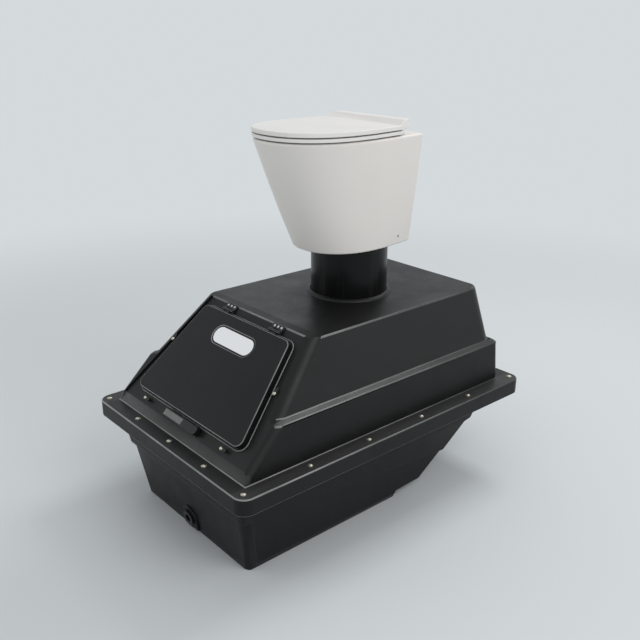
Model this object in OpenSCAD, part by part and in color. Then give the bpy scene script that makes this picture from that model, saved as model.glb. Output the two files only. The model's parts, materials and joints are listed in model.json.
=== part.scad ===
// Waterless composting toilet: a black moulded tank in two halves with a
// sloping emptying hatch, a chute pipe and a white ceramic pan with a slim lid.
// Millimetres, +Z up. The origin is on the floor under the middle of the flange.
// The hatch faces -Y, and +X is on the right of someone who looks at the hatch.

/* [Tank] */
// Length of the bolted flange, front to back
flange_l = 1184; // [1176:2:1200]
// Width of the bolted flange
flange_w = 800; // [794:2:810]
// Height of the top face of the flange above the floor
flange_z = 330; // [327:1:333]
// Depth of the turned-down skirt round the flange
skirt_h = 51; // [46:1:54]
// Wall of the moulded tank and cover
wall = 7; // [6:0.5:7.5]

/* [Cover] */
// Height of the cover's flat top above the floor
cover_z = 647; // [640:1:654]
// Height of the slanting ledge along the long sides
ledge_z = 468; // [462:1:474]

/* [Hatch] */
// Width of the hatch door at its lower edge
door_w_low = 556; // [548:2:562]
// Width of the hatch door at its upper edge
door_w_up = 424; // [416:2:430]
// Height of the hatch door along the slope
door_h = 328; // [323:1:331]
// Depth of the door's raised tray
door_t = 20; // [19:0.5:22]
// Width of the blank label recess
label_w = 198; // [180:1:206]

/* [Chute] */
// Outside diameter of the chute pipe
pipe_d = 250; // [248:1:252]
// Wall of the chute pipe
pipe_t = 6; // [5:0.5:6.5]
// Distance of the chute behind the middle of the tank
pipe_y = 143; // [139:1:147]

/* [Pan] */
// Height of the pan's foot above the floor
pan_z = 814; // [806:1:822]
// Height of the ceramic pan from foot to rim
pan_h = 345; // [340:1:352]
// Width of the pan at the rim
pan_w = 370; // [364:1:376]
// Length of the pan at the rim
pan_l = 498; // [494:1:504]
// Width of the pan at the foot
foot_w = 288; // [284:1:294]
// Length of the pan at the foot
foot_l = 346; // [340:1:350]

/* [Seat] */
// Width of the seat and the lid
lid_w = 368; // [362:1:370]
// Thickness of the seat ring
seat_t = 10; // [9:0.5:11]
// Thickness of the lid
lid_t = 13; // [12:0.5:14]

/* [Hidden] */
$fn = 64;
e = 1;                                     // overshoot of a cut
run = 0.05;                                // radial clearance of a running fit

// Flange stack, from the top face down
plate_t = 6;                               // cover flange
gasket_t = 4;
rim_t = 8;                                 // tank flange
gasket_z = flange_z - plate_t - gasket_t;  // underside of the gasket
rim_z = gasket_z - rim_t;                  // underside of the tank flange
rim_gap = 5;                               // tank flange to the inside of the skirt
flange_r = 38;                             // corner radius of the flange

// Cover, half sizes at its foot, at the ledge and at its top
foot_x = 346;
ledge_x = 340;
ledge_in = 18;                             // how far the ledge steps in
ledge_drop = 4.5;                          // half of the height of the ledge
top_x = 263;
foot_back = 537;
ledge_back = 529;
top_back = 503;
top_front = -236;
strip_y0 = -541;                           // foot of the short wall under the hatch panel
strip_y1 = -524;                           // its upper edge
strip_z1 = 359.5;
rib_h = 6.5;                               // corner ribs above the hatch panel
cover_r = 27;                              // radius of the cover's upright corners

// Hatch panel: its own plane, x across, y up the slope, z out of it
panel_a = atan2(cover_z - strip_z1, top_front - strip_y1);
panel_l = norm([cover_z - strip_z1, top_front - strip_y1]);
panel_low = 329;                           // half width between the ribs, low end
panel_up = 233;                            // the same at the top
door_y0 = 40;                              // lower edge of the door's tray
door_y1 = door_y0 + door_h;
door_lip = 8;                              // flange round the tray
door_skin = 4;
door_gap = 0.5;                            // door above the panel
door_r = 24;
mouth_in = 38;                             // hatch opening inside the door's outline
lip_t = 5;
lip_h = 11;
label_y = 298;
label_h = 63;
label_depth = 2.5;
hinge_x = 118;
hinge_w = 54;
hinge_y = door_y1 + 13;                    // hinge axis up the slope
hinge_h = 7;                               // hinge axis above the panel
knuckle_r = 5;
pin_r = 2;
latch_y = 8;                               // lever's pivot up the slope
latch_h = 6;                               // and above the panel
latch_l = 178;
latch_d = 24;                              // lever up the slope
latch_plate_l = 98;
ear_x = 64;                                // ears that carry the lever's pin
catch_t = 4;
catch_z = 8;                               // underside of a turn catch above the panel
catch_pts = [[-208, 17], [208, 17], [-265, 219], [265, 219]];

// Lower tank, half widths and side profile
base_x = 291;
wall_x = 320;                              // at the shoulder
shoulder_z = 207;
mouth_x = 339;                             // at the flange
shoulder_out = 9;
base_front = -501;
wall_front = -530;
mouth_y = 543;
pad_back = 94;                             // rear end of the low base pad
floor_z = 28;                              // underside behind the pad
tank_r = 33;

// Drain: low in the middle of the front wall
drain_z = 47;
drain_r = 16;
boss_r = 38;
boss_h = 6;
seal_t = 2;

// Screws round the flange
screw_x = [-370, -184, 0, 184, 370];
screw_y = [-564, -339, -113, 113, 339, 564];
side_y = [for (i = [1:4]) screw_y[i]];
flange_pts = concat([for (x = screw_x, y = [screw_y[0], screw_y[5]]) [x, y]],
    [for (x = [-373, 373], y = side_y) [x, y]]);

// Chute and pan
pipe_r = pipe_d / 2;
pipe_in = pipe_r - pipe_t;
pipe_z0 = cover_z - 66;
pipe_z1 = pan_z + 36;
collar_w = 17;
collar_h = 10;
rim_top = pan_z + pan_h;
pan_back = 303;
pan_front = pan_back - pan_l;
deck_w = 326;                              // width of the pan at its back
foot_back_y = pan_back - 8;
foot_deck_w = 256;
spigot_r = pipe_in - 6;
outlet_r = spigot_r - 11;
glaze = 13;                                // wall of the ceramic
slab_t = 20;                               // its rim and deck
rim_r = 8;                                 // rounding of its upper edge
bowl_w = 284;                              // opening of the bowl at the rim
bowl_front = pan_front + 42;
bowl_mid = 12;                             // where it is widest
bowl_back = 194;
side_hole_y = 226;
side_hole_z = pan_z + 26;
side_in_x = 120;                           // inner face of the foot's wall at the side holes

// Seat and lid
buffer_t = 4;
seat_z = rim_top + buffer_t;
lid_z = seat_z + seat_t + buffer_t;
lid_front = pan_front + 2;
lid_back = 244;
lid_side_w = 334;                          // width that the sides would have at the back
lid_rear_w = 296;                          // width left between the cut corners
lid_shoulder = lid_back - 58;              // where the corners start, and the hump's foot
hump = 15;                                 // rise of the lid over its hinges
hump_run = 24;
axis_y = lid_back - 18;
axis_z = rim_top + 27;
post_x = 77;
seat_back = axis_y - 14;

function unit(v) = v / norm(v);

// Outline of a toilet rim: a round front, straight sides and a narrower back.
// w width, l length with the front at y = 0, back_w width at the back, f round share,
// g share of the length at which the narrowing towards the back starts
function d_outline(w, l, back_w, f = 0.5, g = 0.6, r = 16, n = 2.25, steps = 36) = concat(
    [for (i = [0:steps]) let (a = 180 * i / steps)
        [-w / 2 * sign(cos(a)) * pow(abs(cos(a)), 2 / n), f * l * (1 - pow(sin(a), 2 / n))]],
    [[w / 2, l * g]],
    [for (a = [0:22.5:90]) [back_w / 2 - r + r * cos(a), l - r + r * sin(a)]],
    [for (a = [90:-22.5:0]) [r - back_w / 2 - r * cos(a), l - r + r * sin(a)]],
    [[-w / 2, l * g]]);

// Closed skin over rings of points, lowest ring first, each counter-clockwise from above
module loft(rings) {
    n = len(rings[0]);
    m = len(rings);
    polyhedron(points = [for (r = rings, p = r) p], faces = concat(
        [[for (i = [0:n - 1]) i]],
        [[for (i = [n - 1:-1:0]) (m - 1) * n + i]],
        [for (k = [0:m - 2], i = [0:n - 1]) let (a = k * n + i, b = k * n + (i + 1) % n)
            [a, a + n, b + n]],
        [for (k = [0:m - 2], i = [0:n - 1]) let (a = k * n + i, b = k * n + (i + 1) % n)
            [a, b + n, b]]), convexity = 6);
}

module rounded_rect(lx, ly, r) {
    offset(r) square([lx - 2 * r, ly - 2 * r], center = true);
}

// Extrudes an outline drawn in X and Z along Y, from y0 to y1
module along_y(y0, y1) {
    translate([0, y1, 0]) rotate([90, 0, 0]) linear_extrude(y1 - y0) children();
}

// Extrudes an outline drawn in Y and Z along X, over a half width
module along_x(hx) {
    translate([-hx, 0, 0]) rotate([90, 0, 90]) linear_extrude(2 * hx) children();
}

// Takes the sharp corner off the edge through p between faces with normals n1 and n2.
// The body may be inset by t; the cut runs from a before p to b after it.
module edge_cut(p, n1, n2, r, t, a, b) {
    run_dir = unit(cross(n1, n2));
    out = unit(n1 + n2);
    side = cross(run_dir, out);
    h = acos(n1 * n2) / 2;
    q = p - out * t / cos(h);
    rr = r - t;
    multmatrix([[out.x, side.x, run_dir.x, q.x], [out.y, side.y, run_dir.y, q.y],
        [out.z, side.z, run_dir.z, q.z], [0, 0, 0, 1]])
    translate([-rr / cos(h), 0, -a]) linear_extrude(a + b) difference() {
        polygon([[0, 0], (rr + e) * [cos(h), sin(h)], [(rr + e) / cos(h), 0],
            (rr + e) * [cos(h), -sin(h)]]);
        circle(rr);
    }
}

// Places children on the hatch panel
module on_panel(y = 0, h = 0) {
    translate([0, strip_y1, strip_z1]) rotate([panel_a, 0, 0]) translate([0, y, h]) children();
}

// ---- Tank ----

module tank_front_view(out) {
    w0 = base_x + out;
    w1 = wall_x + out;
    w2 = mouth_x;
    polygon([[-w0 + 10, 0], [w0 - 10, 0], [w0, 22], [w1, shoulder_z], [w2, rim_z + 2],
        [w2, gasket_z + 40], [-w2, gasket_z + 40], [-w2, rim_z + 2], [-w1, shoulder_z], [-w0, 22]]);
}

module tank_side_view(out) {
    polygon([[base_front - out + 5, 0], [pad_back, 0], [pad_back + 4, floor_z], [209, floor_z + 3],
        [391, 198], [420, 203], [442, 240], [491, 278], [mouth_y, 294], [mouth_y, gasket_z + 40],
        [-mouth_y, gasket_z + 40], [-mouth_y, rim_z + 2], [wall_front - out, shoulder_z],
        [base_front - out, 18]]);
}

// The tank's outer form inset by t, with rounded upright corners at the front
module tank_form(t, out) {
    front = unit([0, -(shoulder_z - 18), wall_front - base_front]);
    side_lean = unit([shoulder_z - 22, 0, -(wall_x - base_x)]);
    difference() {
        intersection() {
            along_y(-700, 700) offset(delta = -t) tank_front_view(out);
            along_x(500) offset(delta = -t) tank_side_view(out);
        }
        for (s = [-1, 1])
            edge_cut([s * (wall_x + out), wall_front - out, shoulder_z], [s * side_lean.x, 0, side_lean.z],
                front, tank_r, t, 400, 400);
    }
}

// The part of the wall above the crease, which falls towards the back
module above_crease() {
    translate([0, -500, shoulder_z - 21]) rotate([-5, 0, 0]) along_y(-90, 1200)
        polygon([[-wall_x + 4, 0], [-wall_x - 24, 87], [-wall_x - 24, 330], [wall_x + 24, 330],
            [wall_x + 24, 87], [wall_x - 4, 0]]);
}

module lower_tank() {
    color([0.09, 0.09, 0.095]) difference() {
        union() {
            intersection() {
                tank_form(0, 0);
                translate([-500, -600, -e]) cube([1000, 1200, gasket_z + e]);
            }
            intersection() {
                tank_form(0, shoulder_out);
                above_crease();
                translate([-500, -600, -e]) cube([1000, 1200, gasket_z + e]);
            }
            translate([0, 0, rim_z]) linear_extrude(rim_t)
                rounded_rect(flange_w - 2 * (wall + rim_gap), flange_l - 2 * (wall + rim_gap), 28);
            drain_boss();
        }
        tank_form(wall, 0);
        for (p = flange_pts) translate([p.x, p.y, rim_z - e]) cylinder(h = rim_t + 2 * e, d = 6.6);
        on_drain() translate([0, 0, -20]) cylinder(h = 50, r = drain_r);
    }
}

// Places children on the drain's axis; z = 0 is on the wall, and +z is out of the tank
module on_drain() {
    lean = atan2(base_front - wall_front, shoulder_z - 18);
    translate([0, base_front - (drain_z - 18) * tan(lean), drain_z]) rotate([90 + lean, 0, 0])
        children();
}

// Round-topped boss that runs down to the foot of the wall
module drain_boss() {
    on_drain() translate([0, 0, -e]) linear_extrude(boss_h + e) {
        circle(boss_r);
        translate([-boss_r, -drain_z + 12]) square([2 * boss_r, drain_z - 12]);
    }
}

module drain_outlet() {
    color([0.16, 0.16, 0.17]) on_drain() difference() {
        union() {
            translate([0, 0, -36]) cylinder(h = 36 + boss_h + seal_t, r = drain_r - run);
            translate([0, 0, boss_h + seal_t]) cylinder(h = 5, r = 25);
        }
        translate([0, 0, -36 - e]) cylinder(h = 80, r = 12.5);
    }
}

module drain_seal() {
    color([0.05, 0.05, 0.05]) on_drain() translate([0, 0, boss_h]) difference() {
        cylinder(h = seal_t, r = 24);
        translate([0, 0, -e]) cylinder(h = 4, r = drain_r);
    }
}

module drain_nut() {
    color([0.16, 0.16, 0.17]) on_drain() translate([0, 0, -wall - 9]) difference() {
        cylinder(h = 9, r = 25, $fn = 6);
        translate([0, 0, -e]) cylinder(h = 12, r = drain_r);
    }
}

// False floor that keeps the compost clear of the liquid
module drain_grate() {
    plate_z = 78;
    plate_y = -204;
    color([0.30, 0.31, 0.32]) difference() {
        union() {
            translate([0, plate_y, plate_z]) linear_extrude(5) rounded_rect(548, 560, 22);
            for (x = [-222, 0, 222], y = [-222, 0, 222]) translate([x, plate_y + y, wall])
                cylinder(h = plate_z - wall + e, r1 = 16, r2 = 11);
        }
        for (i = [-5:5], j = [-1, 1]) if (i != 0) translate([i * 45, plate_y + j * 116, plate_z - e])
            linear_extrude(5 + 2 * e) {
                square([10, 150], center = true);
                translate([0, -75]) circle(5);
                translate([0, 75]) circle(5);
            }
    }
}

// ---- Flange ----

module flange_gasket() {
    color([0.06, 0.06, 0.06]) translate([0, 0, gasket_z]) linear_extrude(gasket_t) difference() {
        rounded_rect(flange_w - 28, flange_l - 28, 26);
        rounded_rect(2 * mouth_x - 6, 2 * mouth_y - 6, 22);
        for (p = flange_pts) translate(p) circle(d = 6.6);
    }
}

module flange_screws() {
    color([0.76, 0.72, 0.64]) for (p = flange_pts) translate([p.x, p.y, flange_z + 1.5]) {
        translate([0, 0, -32]) cylinder(h = 33, d = 6, $fn = 24);
        difference() {
            intersection() {
                cylinder(h = 3.6, r = 6, $fn = 24);
                translate([0, 0, -5.5]) sphere(r = 9, $fn = 32);
            }
            for (a = [0, 90]) rotate(a) translate([-3, -0.6, 2.2]) cube([6, 1.2, 3]);
        }
    }
}

module flange_washers() {
    color([0.70, 0.69, 0.66]) for (p = flange_pts) translate([p.x, p.y, flange_z])
        difference() {
            cylinder(h = 1.5, r = 8, $fn = 32);
            translate([0, 0, -e]) cylinder(h = 4, d = 6 + 2 * run, $fn = 24);
        }
}

module flange_nuts() {
    color([0.66, 0.66, 0.64]) for (p = flange_pts) translate([p.x, p.y, rim_z - 5]) difference() {
        cylinder(h = 5, d = 11.5, $fn = 6);
        translate([0, 0, -e]) cylinder(h = 8, d = 6 + 2 * run, $fn = 24);
    }
}

// ---- Cover ----

module cover_front_view() {
    zl = ledge_z - ledge_drop;
    zu = ledge_z + ledge_drop;
    ux = ledge_x - ledge_in;
    polygon([[-foot_x, gasket_z - 30], [foot_x, gasket_z - 30], [foot_x, flange_z], [ledge_x, zl],
        [ux, zu], [top_x, cover_z], [-top_x, cover_z], [-ux, zu], [-ledge_x, zl], [-foot_x, flange_z]]);
}

// front: how far the sloping front stands out of the hatch panel's plane
module cover_side_view(front) {
    zl = ledge_z - ledge_drop;
    zu = ledge_z + ledge_drop;
    up = front / sin(panel_a);
    polygon([[strip_y0, gasket_z - 30], [foot_back, gasket_z - 30], [foot_back, flange_z],
        [ledge_back, zl], [ledge_back - ledge_in, zu], [top_back, cover_z],
        [top_front - up, cover_z], [strip_y1 - up + 3, strip_z1 + 3], [strip_y0, flange_z]]);
}

// Rounds the cover's upright corners, inset by t, in the steps of its profile
module cover_corners(t, front) {
    zl = ledge_z - ledge_drop;
    zu = ledge_z + ledge_drop;
    ux = ledge_x - ledge_in;
    low = unit([zl - flange_z, 0, foot_x - ledge_x]);
    high = unit([cover_z - zu, 0, ux - top_x]);
    low_back = unit([0, zl - flange_z, foot_back - ledge_back]);
    high_back = unit([0, cover_z - zu, ledge_back - ledge_in - top_back]);
    slope = [0, -sin(panel_a), cos(panel_a)];
    up = front / sin(panel_a);
    slope_y = top_front - up - (cover_z - ledge_z) / tan(panel_a);
    slab = [[gasket_z - 44, ledge_z], [ledge_z, cover_z + 40]];
    for (s = [-1, 1], k = [0, 1]) intersection() {
        translate([-500, -700, slab[k][0]]) cube([1000, 1400, slab[k][1] - slab[k][0]]);
        union() {
            x = k == 0 ? ledge_x : ux;
            side = k == 0 ? low : high;
            n = [s * side.x, 0, side.z];
            edge_cut([s * x, slope_y, ledge_z], n, slope, cover_r - 6, t, 500, 500);
            edge_cut([s * x, k == 0 ? ledge_back : ledge_back - ledge_in, ledge_z], n,
                k == 0 ? low_back : high_back, cover_r, t, 500, 500);
        }
    }
}

module cover_form(t, front) {
    difference() {
        intersection() {
            along_y(-700, 700) offset(delta = -t) cover_front_view();
            along_x(500) offset(delta = -t) cover_side_view(front);
        }
        cover_corners(t, front);
    }
}

// Outline between the corner ribs, on the hatch panel
module panel_outline(inset = 0, y0 = -60, y1 = 460) {
    k = (panel_low - panel_up) / panel_l;
    polygon([[-(panel_low - k * y0) + inset, y0], [panel_low - k * y0 - inset, y0],
        [panel_low - k * y1 - inset, y1], [-(panel_low - k * y1) + inset, y1]]);
}

// Sinks the hatch panel and the short wall below it between the corner ribs
module front_recess() {
    intersection() {
        along_x(500) polygon([[strip_y0, flange_z], [strip_y1, strip_z1], [top_front, cover_z],
            [top_front + 30, cover_z + 30], [-700, cover_z + 30], [-700, flange_z]]);
        on_panel(h = -20) linear_extrude(80) panel_outline();
    }
}

// Outline of the hatch door, grown by d
module door_outline(d, r) {
    offset(r) offset(delta = d - r) polygon([[-door_w_low / 2, door_y0], [door_w_low / 2, door_y0],
        [door_w_up / 2, door_y1], [-door_w_up / 2, door_y1]]);
}

module tank_cover() {
    color([0.10, 0.10, 0.105]) union() {
        difference() {
            union() {
                intersection() {
                    cover_form(0, rib_h);
                    translate([-500, -600, flange_z - plate_t]) cube([1000, 1200, 500]);
                }
                translate([0, 0, flange_z - skirt_h]) linear_extrude(skirt_h)
                    rounded_rect(flange_w, flange_l, flange_r);
                translate([0, pipe_y, cover_z - e]) pipe_collar();
            }
            translate([0, 0, flange_z - skirt_h - e]) linear_extrude(skirt_h - plate_t + e)
                rounded_rect(flange_w - 2 * wall, flange_l - 2 * wall, flange_r - wall);
            cover_form(wall, 0);
            front_recess();
            on_panel(h = -30) linear_extrude(60) door_outline(-mouth_in, door_r - lip_t);
            translate([0, pipe_y, cover_z - 30]) cylinder(h = 60, r = pipe_r + 2, $fn = 128);
            for (p = flange_pts) translate([p.x, p.y, flange_z - 30]) cylinder(h = 60, d = 6.6);
            for (s = [-1, 1], x = [-16, 0, 16]) on_panel(hinge_y + 16.5, -14)
                translate([s * hinge_x + x, 0, 0]) cylinder(h = 20, d = 4);
        }
        on_panel(h = -e) linear_extrude(lip_h + e) difference() {
            door_outline(-mouth_in + lip_t, door_r);
            door_outline(-mouth_in, door_r - lip_t);
        }
    }
}

// Rounded lip moulded round the chute
module pipe_collar() {
    rotate_extrude($fn = 128) translate([pipe_r + 1, 0]) intersection() {
        translate([0, collar_h - collar_w]) circle(collar_w);
        square([collar_w, collar_h + e]);
    }
}

// ---- Hatch ----

module hatch_door() {
    color([0.11, 0.11, 0.115]) on_panel(h = door_gap) difference() {
        union() {
            linear_extrude(door_t) door_outline(0, door_r);
            linear_extrude(door_skin) door_outline(door_lip, door_r + door_lip);
        }
        translate([0, 0, -e]) linear_extrude(door_t - door_skin + e)
            door_outline(-door_skin, door_r - door_skin);
        translate([0, label_y, door_t - label_depth]) linear_extrude(8) stadium(label_w, label_h);
    }
}

module stadium(w, h) {
    translate([(h - w) / 2, 0]) circle(h / 2);
    translate([(w - h) / 2, 0]) circle(h / 2);
    square([w - h, h], center = true);
}

module label_plate() {
    color([0.93, 0.94, 0.95]) on_panel(label_y, door_gap + door_t - label_depth)
        linear_extrude(1.2) stadium(label_w - 10, label_h - 10);
}

// Rubber channel over the lip round the hatch opening
module hatch_seal() {
    top = door_gap + door_t - door_skin - 0.3;
    color([0.04, 0.04, 0.04]) on_panel() difference() {
        translate([0, 0, 4]) linear_extrude(top - 4) difference() {
            door_outline(-mouth_in + lip_t + 3, door_r);
            door_outline(-mouth_in - 3, door_r - lip_t);
        }
        translate([0, 0, 3]) linear_extrude(lip_h - 3) difference() {
            door_outline(-mouth_in + lip_t, door_r);
            door_outline(-mouth_in, door_r - lip_t);
        }
    }
}

// A barrel of a hinge on the hatch axis, w wide, bored by bore
module barrel(w, bore) {
    on_panel(hinge_y, hinge_h) rotate([0, 90, 0]) difference() {
        cylinder(h = w, r = knuckle_r, center = true);
        cylinder(h = w + 2 * e, r = bore, center = true);
    }
}

module hinge_frame_leaves() {
    color([0.05, 0.05, 0.055]) for (s = [-1, 1]) translate([s * hinge_x, 0, 0]) {
        for (k = [-1, 1]) translate([k * 19.5, 0, 0]) {
            barrel(15, pin_r + run);
            on_panel(hinge_y, hinge_h - knuckle_r) translate([-7.5, pin_r + 1, 0]) cube([15, 8, 4]);
        }
        on_panel(hinge_y + 8, 0) difference() {
            translate([-hinge_w / 2, 0, 0]) cube([hinge_w, 16, 4]);
            for (x = [-16, 0, 16]) translate([x, 8.5, -e]) cylinder(h = 8, d = 4);
        }
    }
}

module hinge_door_leaves() {
    color([0.05, 0.05, 0.055]) for (s = [-1, 1]) translate([s * hinge_x, 0, 0]) {
        barrel(23, pin_r + run);
        on_panel(door_y1 + 0.2, door_gap + door_skin) translate([-11.5, 0, 0])
            cube([23, hinge_y - door_y1 - pin_r - 1, 3]);
    }
}

module hinge_pins() {
    color([0.62, 0.62, 0.60]) for (s = [-1, 1]) translate([s * hinge_x, 0, 0])
        on_panel(hinge_y, hinge_h) rotate([0, 90, 0]) cylinder(h = hinge_w, r = pin_r, center = true);
}

module hinge_screws() {
    color([0.88, 0.88, 0.86]) for (s = [-1, 1], x = [-16, 0, 16])
        on_panel(hinge_y + 16.5, 4) translate([s * hinge_x + x, 0, 0]) {
            translate([0, 0, -12]) cylinder(h = 13, d = 4 - 2 * run, $fn = 24);
            intersection() {
                cylinder(h = 2.4, r = 4, $fn = 24);
                translate([0, 0, -3]) sphere(r = 5.6, $fn = 32);
            }
        }
}

// Draw latch under the hatch: base, lever with a metal facing, and pin
module latch_base() {
    color([0.07, 0.07, 0.075]) on_panel() difference() {
        union() {
            translate([-latch_l / 2 + 8, 2, 0]) cube([latch_l - 16, 22, 2]);
            for (x = [-ear_x, ear_x]) translate([x, latch_y, latch_h]) rotate([0, 90, 0]) {
                cylinder(h = 8, r = 4.5, center = true);
                translate([latch_h / 2 - e / 2, 0, 0]) cube([latch_h - e, 9, 8], center = true);
            }
        }
        for (x = [-ear_x, ear_x]) translate([x, latch_y, latch_h]) rotate([0, 90, 0])
            cylinder(h = 12, r = 2.5 + run, center = true);
    }
}

module latch_lever() {
    color([0.08, 0.08, 0.085]) on_panel(latch_y, latch_h) difference() {
        translate([0, -2.8, -2.4]) linear_extrude(16.4) offset(8) offset(delta = -8)
            translate([-latch_l / 2, 0]) square([latch_l, latch_d]);
        translate([-latch_l / 2 + 4, -1, 12.4]) cube([latch_plate_l, latch_d - 5, 4]);
        for (x = [-ear_x, ear_x]) translate([x - 4.4, -7, -6]) cube([8.8, 14, 12]);
        rotate([0, 90, 0]) cylinder(h = latch_l, r = 2.5 + run, center = true);
    }
}

module latch_plate() {
    color([0.80, 0.79, 0.76]) on_panel(latch_y, latch_h)
        translate([-latch_l / 2 + 4.2, -0.8, 12.4]) cube([latch_plate_l - 0.4, latch_d - 5.4, 1.4]);
}

module latch_pin() {
    color([0.62, 0.62, 0.60]) on_panel(latch_y, latch_h) rotate([0, 90, 0])
        cylinder(h = latch_l - 24, r = 2.5, center = true);
}

// Turn catches: low pair, then one half way up each side
module turn_catch(k, turn) {
    p = catch_pts[k];
    color([0.06, 0.06, 0.065]) on_panel(p.y, catch_z) translate([p.x, 0, 0]) rotate(turn) difference() {
        hull() {
            cylinder(h = catch_t, r = 6.5);
            translate([16, 0, 0]) cylinder(h = catch_t, r = 4.5);
        }
        translate([0, 0, -e]) cylinder(h = catch_t + 2 * e, r = 3 + run);
    }
}

module catch_low_left() { turn_catch(0, 0); }
module catch_low_right() { turn_catch(1, 0); }
module catch_side_left() { turn_catch(2, 90); }
module catch_side_right() { turn_catch(3, 90); }

// Shoulder screws of the turn catches, each with its stand-off
module catch_screws() {
    color([0.86, 0.85, 0.80]) for (p = catch_pts) on_panel(p.y, 0) translate([p.x, 0, 0]) {
        cylinder(h = catch_z - 0.3, r = 5, $fn = 32);
        cylinder(h = catch_z + catch_t + 0.6, r = 3);
        translate([0, 0, catch_z + catch_t + 0.3]) cylinder(h = 2.8, r1 = 5.5, r2 = 4.2);
    }
}

// ---- Chute and pan ----

module chute_pipe() {
    color([0.03, 0.03, 0.035]) translate([0, pipe_y, pipe_z0]) difference() {
        cylinder(h = pipe_z1 - pipe_z0, r = pipe_r, $fn = 128);
        translate([0, 0, -e]) cylinder(h = pipe_z1 - pipe_z0 + 2 * e, r = pipe_in, $fn = 128);
    }
}

// Rubber ring between the chute and the cover
module pipe_seal() {
    color([0.05, 0.05, 0.05]) translate([0, pipe_y, cover_z - wall - 5]) difference() {
        union() {
            cylinder(h = 5, r = pipe_r + 10, $fn = 128);
            cylinder(h = wall + 5 + collar_h - 3, r = pipe_r + 2 - run, $fn = 128);
        }
        translate([0, 0, -e]) cylinder(h = 40, r = pipe_r + run, $fn = 128);
    }
}

// How far the pan's side has come from foot to rim, over its height
function share(h) = lookup(h / pan_h, [[0, 0], [0.33, 0.355], [0.67, 0.69], [1, 1]]);
function mix(a, b, t) = a + (b - a) * t;

// Ring of the pan's side at height h above its foot, inset by t
function pan_ring(h, t) = let (
    u = share(h),
    front = mix(foot_back_y - foot_l, pan_front, u) + t,
    back = mix(foot_back_y, pan_back, u) - t)
    [for (p = d_outline(mix(foot_w, pan_w, u) - 2 * t, back - front,
        mix(foot_deck_w, deck_w, u) - 2 * t, 0.52, 0.6, 16, 2.25, 30)) [p.x, p.y + front, pan_z + h]];

// Egg-shaped ring of the bowl, u from 0 at the outlet to 1 at the rim, grown by t
function bowl_ring(u, z, t) = let (
    v = 1 - pow(1 - u, 1.8),
    cy = mix(pipe_y, bowl_mid, v),
    x = mix(outlet_r - 1.5, bowl_w / 2, v) + t,
    front = cy - mix(pipe_y - outlet_r + 1.5, bowl_front, v) + t,
    back = mix(pipe_y + outlet_r - 1.5, bowl_back, v) - cy + t)
    [for (a = [180:10:530]) [x * cos(a), cy + sin(a) * (sin(a) < 0 ? front : back), z]];

module pan_outside() {
    r = rim_r;
    loft(concat([pan_ring(0, 2.5)], [for (h = [3, 0.33 * pan_h, 0.67 * pan_h]) pan_ring(h, 0)],
        [for (a = [0:30:90]) pan_ring(pan_h - r + r * sin(a), r - r * cos(a))]));
}

module bowl(t) {
    depth = pan_h - 60;
    loft([for (u = [0, 0.11, 0.25, 0.42, 0.65, t > 0 ? 0.97 : 1.01])
        bowl_ring(min(u, 1), rim_top - depth * (1 - u) - (u == 0 ? t / 2 : 0), t)]);
}

module ceramic_pan() {
    color([0.88, 0.87, 0.85]) difference() {
        union() {
            difference() {
                pan_outside();
                loft([for (h = [-1, 0.33 * pan_h, 0.67 * pan_h, pan_h - slab_t]) pan_ring(h, glaze)]);
            }
            bowl(glaze);
            translate([0, pipe_y, pan_z + 8]) cylinder(h = 60, r = spigot_r, $fn = 128);
            translate([0, pipe_y, pipe_z1 + 4]) cylinder(h = 24, r = pipe_r + 4, $fn = 128);
        }
        bowl(0);
        translate([0, pipe_y, pan_z]) cylinder(h = 62, r = outlet_r, $fn = 128);
        for (x = [-post_x, post_x]) translate([x, axis_y, rim_top - 60]) cylinder(h = 80, r = 6);
        for (s = [-1, 1]) translate([s * foot_w / 2, side_hole_y, side_hole_z]) rotate([0, 90, 0])
            cylinder(h = 60, r = 4.5, center = true);
    }
}

module pan_seal() {
    color([0.05, 0.05, 0.05]) translate([0, pipe_y, pan_z + 12]) difference() {
        union() {
            cylinder(h = pipe_z1 - pan_z - 12, r = pipe_in - run, $fn = 128);
            translate([0, 0, pipe_z1 - pan_z - 12]) cylinder(h = 4, r = pipe_r, $fn = 128);
        }
        translate([0, 0, -e]) cylinder(h = 40, r = spigot_r + run, $fn = 128);
    }
}

// Angle brackets inside the foot, one each side, and the screws that hold the pan to them
module pan_brackets() {
    color([0.72, 0.72, 0.70]) for (s = [-1, 1]) translate([s * side_in_x, side_hole_y, pan_z])
        difference() {
            union() {
                translate([s > 0 ? -4 : 0, -9, 0]) cube([4, 18, 40]);
                translate([s > 0 ? -16 : 0, -9, 0]) cube([16, 18, 4]);
            }
            translate([-s * 10, 0, -e]) cylinder(h = 10, r = 3);
            translate([-10, 0, side_hole_z - pan_z]) rotate([0, 90, 0]) cylinder(h = 20, r = 3 + run);
        }
}

module pan_side_screws() {
    color([0.60, 0.60, 0.58]) for (s = [-1, 1]) translate([s * side_in_x, side_hole_y, side_hole_z])
        rotate([0, s * 90, 0]) {
            translate([0, 0, -14]) cylinder(h = 26, r = 3);
            translate([0, 0, 8]) cylinder(h = 4, r = 4.2);
        }
}

// ---- Seat ----

// Outline of the lid and seat, grown by d, with its rear corners cut
module lid_outline(d = 0) {
    corner = lid_rear_w / 2 + 0.414 * (lid_back - lid_shoulder);
    intersection() {
        translate([0, lid_front - d])
            polygon(d_outline(lid_w + 2 * d, lid_back - lid_front + 2 * d, lid_side_w + 2 * d, 0.5, 0.6, 12));
        offset(delta = d) polygon([[-300, lid_front - 10], [300, lid_front - 10], [300, lid_shoulder],
            [corner, lid_shoulder], [lid_rear_w / 2, lid_back], [-lid_rear_w / 2, lid_back],
            [-corner, lid_shoulder], [-300, lid_shoulder]]);
    }
}

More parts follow.
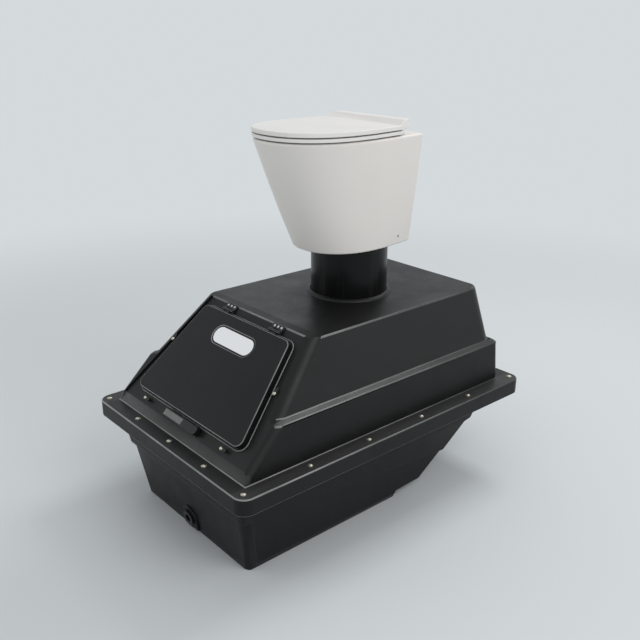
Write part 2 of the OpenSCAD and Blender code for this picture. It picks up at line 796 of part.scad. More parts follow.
module on_axis(x = 0) {
    translate([x, axis_y, axis_z]) children();
}

module seat_posts() {
    color([0.80, 0.80, 0.80]) for (x = [-post_x, post_x]) difference() {
        union() {
            translate([x, axis_y, rim_top]) cylinder(h = 3, r = 15);
            translate([x - 6, axis_y - 8, rim_top]) cube([12, 16, axis_z - rim_top]);
            on_axis(x) rotate([0, 90, 0]) cylinder(h = 12, r = 8, center = true);
        }
        on_axis(x) rotate([0, 90, 0]) cylinder(h = 20, r = 4 + run, center = true);
        translate([x, axis_y, rim_top - e]) cylinder(h = 14, r = 4 + run);
    }
}

module seat_pins() {
    color([0.82, 0.82, 0.82]) for (s = [-1, 1]) on_axis(s * (post_x + 0.5)) rotate([0, 90, 0])
        cylinder(h = 51, r = 4, center = true);
}

module seat_bolts() {
    color([0.75, 0.75, 0.74]) for (x = [-post_x, post_x]) translate([x, axis_y, rim_top - 55])
        cylinder(h = 55 + 12, r = 4);
}

module seat_nuts() {
    color([0.85, 0.85, 0.84]) for (x = [-post_x, post_x]) translate([x, axis_y, rim_top - slab_t - 15])
        difference() {
            union() {
                cylinder(h = 12, r = 9);
                translate([0, 0, 12]) cylinder(h = 3, r = 14);
                translate([-16, -2.5, 0]) cube([32, 5, 10]);
            }
            translate([0, 0, -e]) cylinder(h = 20, r = 4 + run);
        }
}

module seat_ring() {
    color([0.90, 0.90, 0.89]) union() {
        translate([0, 0, seat_z]) linear_extrude(seat_t) difference() {
            intersection() {
                lid_outline(-1);
                translate([-300, seat_back - 700]) square([600, 700]);
            }
            translate([0, lid_front + 62]) polygon(d_outline(240, 302, 194, 0.5));
        }
        for (s = [-1, 1]) difference() {
            hull() {
                on_axis(s * (post_x + 18)) rotate([0, 90, 0]) cylinder(h = 14, r = 8, center = true);
                translate([s * (post_x + 18) - 7, seat_back - 26, seat_z]) cube([14, 24, seat_t]);
            }
            on_axis(s * (post_x + 18)) rotate([0, 90, 0])
                cylinder(h = 20, r = 4 + 2 * run, center = true);
        }
    }
}

// Pocket under the lid's hump, in Y and Z; its ceiling stays below the hump
module hinge_pocket(y0) {
    top = lid_z + lid_t - 3.5;
    polygon([[y0, lid_z - e], [y0, top], [lid_shoulder + 2, top],
        [lid_shoulder + hump_run + 2, top + hump], [lid_back + 9, top + hump], [lid_back + 9, lid_z - e]]);
}

module seat_lid() {
    color([0.93, 0.93, 0.92]) union() {
        difference() {
            union() {
                translate([0, 0, lid_z]) linear_extrude(lid_t) lid_outline();
                intersection() {
                    translate([0, 0, lid_z]) linear_extrude(40) lid_outline();
                    along_x(200) polygon([[lid_shoulder, lid_z], [lid_shoulder, lid_z + lid_t],
                        [lid_shoulder + hump_run, lid_z + lid_t + hump],
                        [lid_back - 3, lid_z + lid_t + hump], [lid_back + 1, lid_z + lid_t + hump - 4],
                        [lid_back + 1, lid_z]]);
                }
            }
            for (s = [-1, 1])
                translate([s * (post_x + 2), 0, 0]) along_x(27) hinge_pocket(axis_y - 42);
        }
        for (s = [-1, 1]) difference() {
            union() {
                on_axis(s * (post_x - 17)) rotate([0, 90, 0]) cylinder(h = 14, r = 8, center = true);
                translate([s * (post_x - 17) - 7, axis_y - 7, axis_z])
                    cube([14, 14, lid_z + lid_t + hump - axis_z - 1]);
            }
            on_axis(s * (post_x - 17)) rotate([0, 90, 0])
                cylinder(h = 20, r = 4 + 2 * run, center = true);
        }
    }
}

module seat_buffers() {
    color([0.80, 0.80, 0.79]) for (p = [[-152, -10], [152, -10], [-148, 160], [148, 160]])
        translate([p.x, p.y, seat_z - buffer_t + 0.3]) cylinder(h = buffer_t - 0.3, r1 = 7, r2 = 8);
}

module lid_buffers() {
    color([0.80, 0.80, 0.79]) for (p = [[-70, -158], [70, -158], [-150, 70], [150, 70]])
        translate([p.x, p.y, lid_z - buffer_t + 0.3]) cylinder(h = buffer_t - 0.3, r1 = 6, r2 = 7);
}

lower_tank();
tank_cover();
flange_gasket();
flange_screws();
flange_washers();
flange_nuts();
drain_outlet();
drain_nut();
drain_seal();
drain_grate();
hatch_door();
hatch_seal();
hinge_frame_leaves();
hinge_door_leaves();
hinge_pins();
hinge_screws();
label_plate();
latch_base();
latch_lever();
latch_plate();
latch_pin();
catch_low_left();
catch_low_right();
catch_side_left();
catch_side_right();
catch_screws();
chute_pipe();
pipe_seal();
ceramic_pan();
pan_seal();
pan_brackets();
pan_side_screws();
seat_posts();
seat_pins();
seat_bolts();
seat_nuts();
seat_ring();
seat_buffers();
seat_lid();
lid_buffers();
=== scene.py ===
import json
import math

import bmesh
import bpy
from mathutils import Matrix, Vector
from mathutils.bvhtree import BVHTree
from mathutils.kdtree import KDTree


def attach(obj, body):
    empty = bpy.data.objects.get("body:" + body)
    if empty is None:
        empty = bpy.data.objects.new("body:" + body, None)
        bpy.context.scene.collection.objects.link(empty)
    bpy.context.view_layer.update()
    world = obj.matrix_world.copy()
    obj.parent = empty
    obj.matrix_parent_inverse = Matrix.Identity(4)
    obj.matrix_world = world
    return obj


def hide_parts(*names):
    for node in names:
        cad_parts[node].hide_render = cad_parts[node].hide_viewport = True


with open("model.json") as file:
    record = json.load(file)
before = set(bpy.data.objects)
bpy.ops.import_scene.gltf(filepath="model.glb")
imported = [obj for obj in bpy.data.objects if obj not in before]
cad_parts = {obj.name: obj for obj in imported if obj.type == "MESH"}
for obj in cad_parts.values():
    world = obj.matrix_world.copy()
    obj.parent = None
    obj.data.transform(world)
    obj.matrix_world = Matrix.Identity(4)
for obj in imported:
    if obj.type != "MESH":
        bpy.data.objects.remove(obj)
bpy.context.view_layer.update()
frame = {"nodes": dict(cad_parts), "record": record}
NODES = frame["nodes"]

# Lengths are in metres, in the frame's axes: -Y towards the hatch, +X to its right, +Z up.

# ---------------------------------------------------------------- camera
# Fitted to the tank's edges in the photograph
CAM_POS = (1.8345362, -1.5743607, 1.4805426)
CAM_AZ = 0.8559552                    # radians about the vertical
CAM_EL = 0.3599821                    # radians down from level
CAM_ROLL = 0.0036282                  # radians about the line of sight
FOCAL_PX = 795.2329
IMAGE_PX = 640.0
SENSOR_MM = 36.0

# ---------------------------------------------------------------- light and floor
PALE = (0.66, 0.70, 0.72)             # floor and backdrop, as the camera sees them
FLOOR_HALF = 14.0
FLOOR_NEAR = 1.6                      # the floor takes light and shadow up to here
FLOOR_FAR = 4.2                       # and is the plain pale backdrop from here on
WORLD_COLOUR = (0.99, 0.995, 1.0)
WORLD_STRENGTH = 0.62
# Name, size, watts, place, the point that it faces, and colour
LAMPS = [
    ("key", (2.4, 1.8), 36.0, (2.9, 0.0, 2.9), (0.0, 0.0, 0.8), (1.0, 0.985, 0.96)),
    ("fill", (1.6, 1.2), 13.0, (-2.5, -3.1, 0.9), (0.0, 0.0, 0.6), (1.0, 0.99, 0.97)),
    ("back", (1.8, 1.0), 44.0, (-0.1, 2.4, 3.6), (0.1, 0.0, 0.6), (1.0, 1.0, 1.0)),
]


def rgba(colour):
    return (*colour, 1.0)


def scaled(colour, factor):
    return tuple(c * factor for c in colour)


def added(name, data):
    """A new object in the scene."""
    o = bpy.data.objects.new(name, data)
    bpy.context.scene.collection.objects.link(o)
    return o


# ---------------------------------------------------------------- material helpers
NOISE_NARROW = (0.35, 0.65)           # most of a noise's values lie between these
NOISE_WIDE = (0.3, 0.7)               # and nearly all of them between these
MIX_A, MIX_B, MIX_OUT = 6, 7, 2       # the colour sockets of a Mix node


class Mat:
    """One node material. Coordinates are the object's own, in metres."""

    def __init__(self, name):
        self.m = bpy.data.materials.new(name)
        self.m.use_nodes = True
        self.t = self.m.node_tree
        self.bsdf = self.t.nodes["Principled BSDF"]
        self.coord = self.t.nodes.new("ShaderNodeTexCoord")
        self.heights = []

    def node(self, kind, **inputs):
        n = self.t.nodes.new(kind)
        for key, value in inputs.items():
            n.inputs[key.replace("_", " ")].default_value = value
        return n

    def link(self, a, b):
        self.t.links.new(a, b)

    def set(self, **inputs):
        for key, value in inputs.items():
            self.bsdf.inputs[key.replace("_", " ")].default_value = value

    def axes(self, output):
        """The x, y and z of one of the texture coordinates."""
        n = self.t.nodes.new("ShaderNodeSeparateXYZ")
        self.link(self.coord.outputs[output], n.inputs[0])
        return n.outputs

    def stretched(self, scale):
        n = self.t.nodes.new("ShaderNodeMapping")
        n.inputs["Scale"].default_value = scale
        self.link(self.coord.outputs["Object"], n.inputs["Vector"])
        return n.outputs["Vector"]

    def noise(self, scale, detail=4.0, rough=0.55, stretch=None):
        n = self.node("ShaderNodeTexNoise", Scale=scale, Detail=detail, Roughness=rough)
        source = self.stretched(stretch) if stretch else self.coord.outputs["Object"]
        self.link(source, n.inputs["Vector"])
        return n.outputs["Fac"]

    def ranged(self, value, span, out=(0.0, 1.0)):
        """Carries span over to out. Past the span's ends the value stays at the ends of out."""
        n = self.node(
            "ShaderNodeMapRange", From_Min=span[0], From_Max=span[1], To_Min=out[0], To_Max=out[1])
        self.link(value, n.inputs["Value"])
        return n.outputs["Result"]

    def mixed(self, fac, a, b):
        """Mixes two colours, either of which may be another node's output."""
        n = self.t.nodes.new("ShaderNodeMix")
        n.data_type = "RGBA"
        self.link(fac, n.inputs[0])
        for socket, value in ((n.inputs[MIX_A], a), (n.inputs[MIX_B], b)):
            if isinstance(value, tuple):
                socket.default_value = rgba(value)
            else:
                self.link(value, socket)
        return n.outputs[MIX_OUT]

    def calc(self, operation, *values):
        n = self.t.nodes.new("ShaderNodeMath")
        n.operation = operation
        for socket, value in zip(n.inputs, values):
            self.link(value, socket)
        return n.outputs[0]

    def greatest(self, first, *others):
        for other in others:
            first = self.calc("MAXIMUM", first, other)
        return first

    def product(self, first, *others):
        for other in others:
            first = self.calc("MULTIPLY", first, other)
        return first

    def between(self, value, span, soft=0.0015):
        """1 within the span, with soft ends outside it."""
        low, high = span
        return self.product(
            self.ranged(value, (low - soft, low)), self.ranged(value, (high, high + soft), (1.0, 0.0)))

    def colour(self, value):
        self.link(value, self.bsdf.inputs["Base Color"])

    def rough(self, value):
        self.link(value, self.bsdf.inputs["Roughness"])

    def bump(self, height, distance, strength):
        self.heights.append((height, distance, strength))

    def done(self):
        """Chains the bumps, and gives the finished material."""
        last = None
        for height, distance, strength in self.heights:
            n = self.node("ShaderNodeBump", Distance=distance, Strength=strength)
            self.link(height, n.inputs["Height"])
            if last:
                self.link(last, n.inputs["Normal"])
            last = n.outputs["Normal"]
        if last:
            self.link(last, self.bsdf.inputs["Normal"])
        return self.m


# ---------------------------------------------------------------- painted light on the cover
# Each pair is the span over which the painted light comes or goes, unless it says otherwise.
LEDGE_SIDE = (0.3205, 0.3225)         # half width at the ledge's inner edge,
LEDGE_REAR = (0.5085, 0.5105)         # and y at its inner edge behind
LEDGE_Z = (0.4630, 0.4720)            # its lower and upper end
LEDGE_START = (-0.432, -0.412)        # y at its front end
LEDGE_FADE = (-0.41, 0.12)            # y from its front end to where it is weakest
FOOT_X = (-0.30, -0.10)               # x over which the foot of the sloping front grows weaker
FOOT_Y = (-0.5240, -0.5200)           # y behind which that foot ends
FOOT_Z = (0.3345, 0.3570)             # its lower and upper end
FLANGE_SIDE = (0.340, 0.352)          # half width over which the flange grows paler
FLANGE_Z = (0.3280, 0.3305)           # just below and above the flange's top face
COLLAR_Z = (0.650, 0.652)             # a painted edge highlight above this is on the collar, in glints
# Colours of the painted light
PAINTED_LIGHT = (0.115, 0.115, 0.117)
PAINTED_TOP_LIGHT = (0.0205, 0.0205, 0.0208)
EDGE_DARK = (0.012, 0.012, 0.0123)
EDGE_HIGHLIGHT = (0.27, 0.27, 0.273)


def cover_light_mask(m):
    """Painted light on the cover: a painted highlight on its ledge, most at the front end, on the foot of
    its front, and on its flange.
    """
    x, y, z = m.axes("Object")
    across = m.calc("ABSOLUTE", x)
    ledge = m.product(
        m.greatest(m.ranged(across, LEDGE_SIDE), m.ranged(y, LEDGE_REAR)), m.between(z, LEDGE_Z),
        m.ranged(y, LEDGE_FADE, (1.0, 0.16)), m.ranged(y, LEDGE_START))
    foot = m.product(
        m.between(z, FOOT_Z, soft=0.003), m.ranged(y, FOOT_Y, (1.0, 0.0)),
        m.ranged(x, FOOT_X, (0.85, 0.22)))
    flange = m.product(m.between(z, FLANGE_Z, soft=0.0005), m.ranged(across, FLANGE_SIDE, (0.10, 0.30)))
    streak = m.noise(26.0, detail=5.0, rough=0.65, stretch=(4.0, 0.35, 4.0))
    return m.product(m.greatest(ledge, foot, flange), m.ranged(streak, NOISE_WIDE, (0.55, 1.0)))


def top_light_mask(m):
    """Painted light from above: none on undersides, most on walls that lean back, a little on level tops.
    """
    up = m.axes("Normal")[2]
    cloud = m.noise(5.0, detail=5.0, rough=0.6, stretch=(1.0, 0.6, 1.6))
    return m.product(
        m.ranged(up, (-0.05, 0.32)), m.ranged(up, (0.45, 0.90), (1.0, 0.15)),
        m.ranged(cloud, NOISE_WIDE, (0.7, 1.0)))


# ---------------------------------------------------------------- materials
def moulded(name, dark, light, rough, grain=0.00010, gloss=0.25, with_painted_light=False):
    """Satin black moulding: fine grain, slow waves in the wall, faint scuffs and drawn streaks, and, if
    asked, painted light from above and on the cover.
    """
    m = Mat(name)
    base = m.mixed(m.ranged(m.noise(4.0, detail=3.0), NOISE_NARROW), dark, light)
    # painted light from above: walls that lean back are made lighter
    if with_painted_light:
        base = m.mixed(top_light_mask(m), base, PAINTED_TOP_LIGHT)
    scuff = m.noise(8.0, detail=6.0, rough=0.7, stretch=(1.0, 9.0, 2.0))
    scuffed = tuple(c * 1.8 + 0.003 for c in light)
    base = m.mixed(m.ranged(scuff, (0.58, 0.80), (0.0, 0.5)), base, scuffed)
    # painted light: the cover is made paler on its ledge, the foot of its front and its flange
    m.colour(m.mixed(cover_light_mask(m), base, PAINTED_LIGHT) if with_painted_light else base)
    m.rough(m.ranged(m.noise(12.0, detail=5.0, rough=0.65), NOISE_WIDE, rough))
    m.bump(m.noise(2600.0, detail=2.0), distance=grain, strength=0.35)
    m.bump(m.noise(7.0, detail=1.0), distance=0.003, strength=0.06)
    m.set(Specular_IOR_Level=gloss)
    return m.done()


def edge_highlight(name):
    """A painted highlight on the rounded edge of a moulding: palest at the front and in glinting spots on
    the collar, with soft changes.
    """
    m = Mat(name)
    _, y, z = m.axes("Object")
    streak = m.ranged(m.noise(7.0, detail=3.0, rough=0.5), NOISE_NARROW, (0.55, 1.0))
    along = m.product(m.ranged(y, (-0.45, 0.45), (1.0, 0.14)), streak)
    spots = m.ranged(m.noise(16.0, detail=3.0), (0.45, 0.60), (0.1, 1.0))
    collar = m.product(m.ranged(z, COLLAR_Z), spots)
    m.colour(m.mixed(m.greatest(along, collar), EDGE_DARK, EDGE_HIGHLIGHT))
    m.rough(m.ranged(m.noise(60.0), NOISE_WIDE, (0.24, 0.34)))
    m.bump(m.noise(1800.0, detail=2.0), distance=0.00005, strength=0.3)
    m.set(Specular_IOR_Level=0.4)
    return m.done()


def glossy(name, base, rough):
    """Smooth plastic with slight waves and wiped marks."""
    m = Mat(name)
    m.colour(m.mixed(m.ranged(m.noise(11.0, detail=3.0), NOISE_NARROW), base, scaled(base, 1.25)))
    m.rough(m.ranged(m.noise(40.0, detail=5.0, rough=0.7), (0.35, 0.7), rough))
    m.bump(m.noise(16.0, detail=2.0), distance=0.002, strength=0.05)
    m.set(Specular_IOR_Level=0.4)
    return m.done()


def pipe(name):
    """Drawn pipe: near black, with faint marks that run along it."""
    m = Mat(name)
    streak = m.noise(26.0, rough=0.6, stretch=(1.0, 1.0, 0.04))
    m.colour(m.mixed(m.ranged(streak, (0.45, 0.75)), (0.003, 0.003, 0.0033), (0.010, 0.010, 0.0105)))
    m.rough(m.ranged(streak, (0.35, 0.7), (0.24, 0.36)))
    m.bump(m.noise(1500.0, detail=2.0), distance=0.00004, strength=0.2)
    m.set(Specular_IOR_Level=0.20)
    return m.done()


def rubber(name, base, rough):
    """Dull rubber with a fine grain."""
    m = Mat(name)
    m.colour(m.mixed(m.noise(120.0), base, scaled(base, 1.5)))
    m.rough(m.ranged(m.noise(60.0, detail=3.0), NOISE_WIDE, (rough - 0.08, rough + 0.1)))
    m.bump(m.noise(1800.0, detail=2.0), distance=0.00015, strength=0.5)
    return m.done()


def metal(name, base, rough, brushed=None, stained=0.72):
    """Metal with darker stains. Brushed stretches its grain along one axis."""
    m = Mat(name)
    stain = m.ranged(m.noise(160.0, rough=0.6), (0.4, 0.75), (0.0, 0.6))
    m.colour(m.mixed(stain, base, scaled(base, stained)))
    grain = m.noise(900.0, detail=3.0, rough=0.6, stretch=brushed) if brushed else m.noise(500.0)
    m.rough(m.ranged(grain, NOISE_WIDE, rough))
    m.bump(grain, distance=0.0001, strength=0.5)
    m.set(Metallic=1.0)
    return m.done()


def white(name, low, high, cloud, smear, rough, gloss):
    """The base of every white: two near tones and a slightly smeared shine, by noises of these scales."""
    m = Mat(name)
    m.colour(m.mixed(m.ranged(m.noise(cloud, detail=2.0), NOISE_NARROW), low, high))
    m.rough(m.ranged(m.noise(smear, detail=3.0), NOISE_WIDE, rough))
    m.set(Specular_IOR_Level=gloss)
    return m


def china(name):
    """Satin-glazed china: warm white, with very slow changes of tone and a slightly uneven wall."""
    m = white(
        name, (0.735, 0.708, 0.680), (0.757, 0.731, 0.705),
        cloud=3.0, smear=20.0, rough=(0.34, 0.40), gloss=0.22)
    m.bump(m.noise(4.0, detail=1.0), distance=0.002, strength=0.03)
    m.bump(m.noise(900.0, detail=2.0), distance=0.00003, strength=0.15)
    return m.done()


def white_plastic(name, low, high, rough):
    """Smooth white plastic or paint."""
    m = white(name, low, high, cloud=5.0, smear=30.0, rough=(rough - 0.03, rough + 0.04), gloss=0.15)
    m.bump(m.noise(1500.0, detail=2.0), distance=0.00003, strength=0.15)
    return m.done()


# EDGE is the material of the painted highlights on rounded edges
EDGE = edge_highlight("black_painted_edge_highlight")
HIGHLIGHT_EDGED = ("tank_cover", "hatch_door")  # the nodes whose rounded edges get the painted highlight
MATERIALS = {
    "black_polyethylene": moulded(
        "black_polyethylene", (0.0045, 0.0045, 0.0047), (0.0070, 0.0070, 0.0072), (0.34, 0.46),
        gloss=0.22, with_painted_light=True),
    "black_door": moulded(
        "black_door", (0.006, 0.006, 0.0063), (0.008, 0.008, 0.0083), (0.26, 0.36),
        grain=0.00005, gloss=0.24),
    "black_pipe": pipe("black_pipe"),
    "black_rubber": rubber("black_rubber", (0.009, 0.009, 0.009), 0.72),
    "black_fittings": glossy("black_fittings", (0.008, 0.008, 0.009), (0.22, 0.36)),
    "grey_grate": moulded("grey_grate", (0.055, 0.056, 0.058), (0.075, 0.076, 0.078), (0.42, 0.6)),
    "zinc_screws": metal("zinc_screws", (0.66, 0.62, 0.53), (0.34, 0.5)),
    "steel": metal("steel", (0.60, 0.60, 0.585), (0.22, 0.40)),
    "white_screws": white_plastic("white_screws", (0.50, 0.50, 0.48), (0.58, 0.58, 0.56), 0.36),
    "latch_facing": metal(
        "latch_facing", (0.21, 0.208, 0.20), (0.34, 0.50), brushed=(1.0, 40.0, 40.0), stained=0.45),
    "label_white": white_plastic("label_white", (0.90, 0.93, 0.95), (0.93, 0.95, 0.96), 0.24),
    "ceramic": china("ceramic"),
    "white_plastic": white_plastic("white_plastic", (0.745, 0.732, 0.72), (0.775, 0.762, 0.75), 0.42),
    "buffer_rubber": rubber("buffer_rubber", (0.50, 0.49, 0.47), 0.55),
    "hinge_metal": metal("hinge_metal", (0.70, 0.70, 0.70), (0.12, 0.24)),
}

for part in frame["record"]["subparts"]:
    node = NODES[part["node"]]
    node.data.materials.clear()
    node.data.materials.append(MATERIALS[part["material_slot"]])

# ---------------------------------------------------------------- edges
# Widths of the roundings along each node's long edges: the usual one of outward edges, and then, for
# edges that lie between two heights, those of outward and inward ones. A width of 0 leaves an edge sharp.
ROUNDING = {
    "tank_cover": (0.0, [
        (0.6465, 0.6475, 0.0060, 0.0),      # round the flat top
        (0.6476, 0.7000, 0.0030, 0.0),      # the collar
        (0.4620, 0.4685, 0.0040, 0.0),      # the ledge's outer edge
        (0.4718, 0.4732, 0.0, 0.0022),      # and its inner edge
        (0.3295, 0.3305, 0.0034, 0.0022),   # the flange's rim, and the foot of the walls on it
        (0.2785, 0.2795, 0.0015, 0.0),      # the skirt's lower edge
    ]),
    "lower_tank": (0.0030, [
        (0.3110, 0.3210, 0.0, 0.0),         # its rim, which the skirt hides
    ]),
    "hatch_door": (0.0022, []),
    "ceramic_pan": (0.0015, []),
    "seat_ring": (0.0015, []),
    "seat_lid": (0.0022, [
        (1.2019, 1.2021, 0.0, 0.0),         # behind the hump, 3 mm below the edge of its top
    ]),
    "label_plate": (0.0003, []),
    "chute_pipe": (0.0010, []),
    "latch_base": (0.0008, []),
    "latch_lever": (0.0008, []),
}
WELD = 0.00001
SHARP = math.radians(28.0)            # an edge that turns more than this isn't smooth
STRAIGHT = math.radians(40.0)         # a run of edges goes on while it turns less than this
LONG_RUN = 0.10                       # shorter runs, such as the rims of holes, stay sharp
LIFT = 0.001                          # how far before an edge the search for a cover starts
LEVEL = math.radians(0.3)             # faces that turn less than this are joined before the rounding
ROUND_STEPS = 3                       # flat strips across a rounding


def outer(tree, edge):
    """Does nothing of the same node stand in front of this edge?"""
    normal = (edge.link_faces[0].normal + edge.link_faces[1].normal).normalized()
    middle = (edge.verts[0].co + edge.verts[1].co) / 2
    return tree.ray_cast(middle + normal * LIFT, normal)[0] is None


def goes_on(edge, vert, other):
    """Does other carry on from edge through vert without a corner?"""
    here = vert.co - edge.other_vert(vert).co
    there = other.other_vert(vert).co - vert.co
    return here.angle(there, math.pi) < STRAIGHT


def long_outer_edges(bm, sharp):
    """The edges that belong to a long run and that nothing of the node covers."""
    tree = BVHTree.FromBMesh(bm)
    waiting = set(sharp)
    found = []
    for first in sharp:
        if first not in waiting:
            continue
        waiting.remove(first)
        run = [first]
        for edge in run:
            for vert in edge.verts:
                for other in vert.link_edges:
                    if other in waiting and goes_on(edge, vert, other):
                        waiting.remove(other)
                        run.append(other)
        if sum(e.calc_length() for e in run) > LONG_RUN:
            found += [e for e in run if outer(tree, e)]
    return found


def width_of(edge, usual, bands):
    heights = [v.co.z for v in edge.verts]
    for low, high, outward, inward in bands:
        if low <= min(heights) and max(heights) <= high:
            return outward if edge.is_convex else inward
    return usual if edge.is_convex else 0.0


def widths_along(mesh, usual, bands):
    """A width for each of the mesh's edges: 0 where it stays sharp, None where it is smooth."""
    bm = bmesh.new()
    bm.from_mesh(mesh)
    bmesh.ops.remove_doubles(bm, verts=bm.verts, dist=WELD)
    bm.verts.index_update()
    sharp = [e for e in bm.edges if len(e.link_faces) == 2 and e.calc_face_angle(0.0) > SHARP]
    widths = {frozenset(v.index for v in edge.verts): 0.0 for edge in sharp}
    for edge in long_outer_edges(bm, sharp):
        widths[frozenset(v.index for v in edge.verts)] = width_of(edge, usual, bands)
    places = KDTree(len(bm.verts))
    for vert in bm.verts:
        places.insert(vert.co, vert.index)
    places.balance()
    bm.free()
    welded = [places.find(v.co)[1] for v in mesh.vertices]
    return [widths.get(frozenset(welded[i] for i in edge.vertices)) for edge in mesh.edges]


def soften(node, usual, bands, highlighted):
    """Rounds the node's long outer edges by modifiers; the mesh itself stays as it is."""
    mesh = node.data
    mesh.shade_smooth()
    widths = widths_along(mesh, usual, bands)
    widest = max(width or 0.0 for width in widths)
    weight = mesh.attributes.new("bevel_weight_edge", "FLOAT", "EDGE")
    crisp = mesh.attributes.get("sharp_edge") or mesh.attributes.new("sharp_edge", "BOOLEAN", "EDGE")
    for i, width in enumerate(widths):
        weight.data[i].value = (width or 0.0) / widest
        crisp.data[i].value = width == 0.0
    weld = node.modifiers.new("weld", "WELD")
    weld.merge_threshold = WELD
    flat = node.modifiers.new("flat", "DECIMATE")
    flat.decimate_type = "DISSOLVE"
    flat.angle_limit = LEVEL
    bevel = node.modifiers.new("edge", "BEVEL")
    bevel.width = widest
    bevel.segments = ROUND_STEPS
    bevel.limit_method = "WEIGHT"
    bevel.use_clamp_overlap = False
    bevel.harden_normals = False
    # the roundings take the painted edge highlight material
    if highlighted:
        mesh.materials.append(EDGE)
        bevel.material = len(mesh.materials) - 1
    normal = node.modifiers.new("normal", "WEIGHTED_NORMAL")
    normal.keep_sharp = True


# ---------------------------------------------------------------- cover
# Height, half width, rear, and the two half axes of the front and of the rear corner at each level
CORNER_LEVELS = [
    (0.4600, 0.3402, 0.5292, 0.0170, 0.0205, 0.0240, 0.0240),
    (0.4635, 0.3400, 0.5290, 0.0205, 0.0255, 0.0290, 0.0290),
    (0.4725, 0.3220, 0.5110, 0.0310, 0.0405, 0.0390, 0.0450),
    (0.6870, 0.2485, 0.5012, 0.0310, 0.0405, 0.0390, 0.0450),
]
CORNER_STEPS = 14
CORNER_OUT = 0.07                     # how far the cutting blocks reach past the walls
SLOPE_TOP = (-0.2452, 0.647)          # the corner ribs' outer plane, y and z at the top
SLOPE_RISE = 0.99826                  # and its rise over run
COPLANAR = math.radians(0.4)          # faces of the cut cover that turn less than this are joined


def corner_cutter(bm, side, front):
    """Adds one closed block: all that lies outside a rounded corner of the cover."""
    turns = [math.pi / 2 * i / CORNER_STEPS for i in range(CORNER_STEPS + 1)]
    rings = []
    for z, half, rear, front_x, front_y, rear_x, rear_y in CORNER_LEVELS:
        a, b = (front_x, front_y) if front else (rear_x, rear_y)
        outline = [(a * math.cos(t) - a, b * math.sin(t) - b) for t in turns]
        outline += [(-a, CORNER_OUT), (CORNER_OUT, CORNER_OUT), (CORNER_OUT, -b)]
        end = SLOPE_TOP[0] - (SLOPE_TOP[1] - z) / SLOPE_RISE if front else rear
        way = -1.0 if front else 1.0
        rings.append([bm.verts.new((side * (half + x), end + way * y, z)) for x, y in outline])
    bm.faces.new(rings[0])
    bm.faces.new(rings[-1])
    count = len(rings[0])
    for low, high in zip(rings, rings[1:]):
        for i in range(count):
            j = (i + 1) % count
            bm.faces.new((low[i], low[j], high[j]))
            bm.faces.new((low[i], high[j], high[i]))


def corner_cutters():
    """One object with the cutting blocks of all four corners."""
    bm = bmesh.new()
    for side in (-1.0, 1.0):
        for front in (True, False):
            corner_cutter(bm, side, front)
    bmesh.ops.recalc_face_normals(bm, faces=bm.faces)
    mesh = bpy.data.meshes.new("corners")
    bm.to_mesh(mesh)
    bm.free()
    return added("corners", mesh)


def baked(piece):
    """The piece's mesh with its modifiers applied."""
    bpy.context.view_layer.update()
    graph = bpy.context.evaluated_depsgraph_get()
    mesh = bpy.data.meshes.new_from_object(piece.evaluated_get(graph), depsgraph=graph)
    piece.modifiers.clear()
    return mesh


def clean(mesh):
    """Joins what the cut left in pieces, takes loose ends away and fills pinholes."""
    bm = bmesh.new()
    bm.from_mesh(mesh)
    bmesh.ops.remove_doubles(bm, verts=bm.verts, dist=WELD)
    bmesh.ops.dissolve_degenerate(bm, edges=bm.edges, dist=WELD * 3)
    bmesh.ops.dissolve_limit(
        bm, angle_limit=COPLANAR, verts=bm.verts, edges=bm.edges, use_dissolve_boundaries=False)
    bmesh.ops.delete(bm, geom=[e for e in bm.edges if not e.link_faces], context="EDGES")
    bmesh.ops.delete(bm, geom=[v for v in bm.verts if not v.link_faces], context="VERTS")
    bmesh.ops.holes_fill(bm, edges=[e for e in bm.edges if len(e.link_faces) == 1], sides=0)
    bm.to_mesh(mesh)
    bm.free()


def rounded_cover():
    """The cover again, with its upright corners rounded off in full above the ledge."""
    cutter = corner_cutters()
    cover = added("cover", NODES["tank_cover"].data.copy())
    weld = cover.modifiers.new("weld", "WELD")
    weld.merge_threshold = WELD
    cut = cover.modifiers.new("cut", "BOOLEAN")
    cut.object = cutter
    cut.operation = "DIFFERENCE"
    cut.solver = "EXACT"
    cover.data = baked(cover)
    bpy.data.objects.remove(cutter)
    clean(cover.data)
    cover.data.materials.clear()
    cover.data.materials.append(MATERIALS["black_polyethylene"])
    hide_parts("tank_cover")
    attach(cover, "tank")
    return cover


# ---------------------------------------------------------------- stage
def floor_and_backdrop():
    """A pale floor that carries the shadow and turns into the backdrop's own colour further out."""
    mesh = bpy.data.meshes.new("floor")
    h = FLOOR_HALF
    mesh.from_pydata([(-h, -h, 0), (h, -h, 0), (h, h, 0), (-h, h, 0)], [], [(0, 1, 2, 3)])
    floor = added("floor", mesh)
    m = Mat("floor")
    m.set(Base_Color=rgba(PALE), Roughness=0.9, Specular_IOR_Level=0.2)
    away = m.t.nodes.new("ShaderNodeVectorMath")
    away.operation = "LENGTH"
    m.link(m.coord.outputs["Object"], away.inputs[0])
    far = m.ranged(away.outputs["Value"], (FLOOR_NEAR, FLOOR_FAR))
    far.node.interpolation_type = "SMOOTHSTEP"
    backdrop = m.node("ShaderNodeEmission", Color=rgba(PALE), Strength=1.0)
    both = m.t.nodes.new("ShaderNodeMixShader")
    for value, socket in zip((far, m.bsdf.outputs[0], backdrop.outputs[0]), both.inputs):
        m.link(value, socket)
    m.link(both.outputs[0], m.t.nodes["Material Output"].inputs["Surface"])
    mesh.materials.append(m.done())


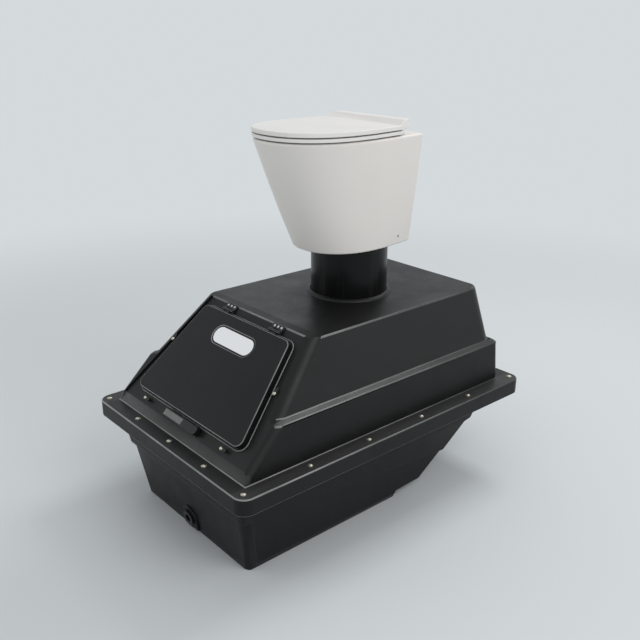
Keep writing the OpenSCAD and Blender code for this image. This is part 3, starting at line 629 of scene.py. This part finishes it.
def lamp(name, size, watts, place, target, colour):
    """A rectangular area lamp that faces the target."""
    light = bpy.data.lights.new(name, "AREA")
    light.shape = "RECTANGLE"
    light.size, light.size_y = size
    light.energy = watts
    light.color = colour
    o = added(name, light)
    o.location = place
    o.rotation_euler = (Vector(target) - Vector(place)).to_track_quat("-Z", "Y").to_euler()


def surroundings():
    """Soft light from all round. The camera, reflections and clear bodies see the pale backdrop instead."""
    world = bpy.data.worlds.new("world")
    bpy.context.scene.world = world
    world.use_nodes = True
    t = world.node_tree
    light = t.nodes["Background"]
    shown = t.nodes.new("ShaderNodeBackground")
    for background, colour, strength in ((light, WORLD_COLOUR, WORLD_STRENGTH), (shown, PALE, 1.0)):
        background.inputs["Color"].default_value = rgba(colour)
        background.inputs["Strength"].default_value = strength
    path = t.nodes.new("ShaderNodeLightPath")
    sees = path.outputs["Is Camera Ray"]
    for kind in ("Is Glossy Ray", "Is Transmission Ray"):
        either = t.nodes.new("ShaderNodeMath")
        either.operation = "MAXIMUM"
        t.links.new(sees, either.inputs[0])
        t.links.new(path.outputs[kind], either.inputs[1])
        sees = either.outputs[0]
    mix = t.nodes.new("ShaderNodeMixShader")
    for value, socket in zip((sees, light.outputs[0], shown.outputs[0]), mix.inputs):
        t.links.new(value, socket)
    t.links.new(mix.outputs[0], t.nodes["World Output"].inputs["Surface"])


def camera():
    data = bpy.data.cameras.new("camera")
    data.sensor_fit = "HORIZONTAL"
    data.sensor_width = SENSOR_MM
    data.lens = FOCAL_PX / IMAGE_PX * SENSOR_MM
    data.clip_start = 0.05
    data.clip_end = 60.0
    o = added("camera", data)
    turn = (
        Matrix.Rotation(CAM_AZ, 4, "Z")
        @ Matrix.Rotation(math.pi / 2 - CAM_EL, 4, "X")
        @ Matrix.Rotation(CAM_ROLL, 4, "Z")
    )
    o.matrix_world = Matrix.Translation(CAM_POS) @ turn
    bpy.context.scene.camera = o


floor_and_backdrop()
for settings in LAMPS:
    lamp(*settings)
surroundings()
camera()
cover = rounded_cover()
for name, (usual, bands) in ROUNDING.items():
    soften(cover if name == "tank_cover" else NODES[name], usual, bands, name in HIGHLIGHT_EDGED)

bpy.context.scene.view_settings.view_transform = "Standard"

bpy.context.view_layer.update()
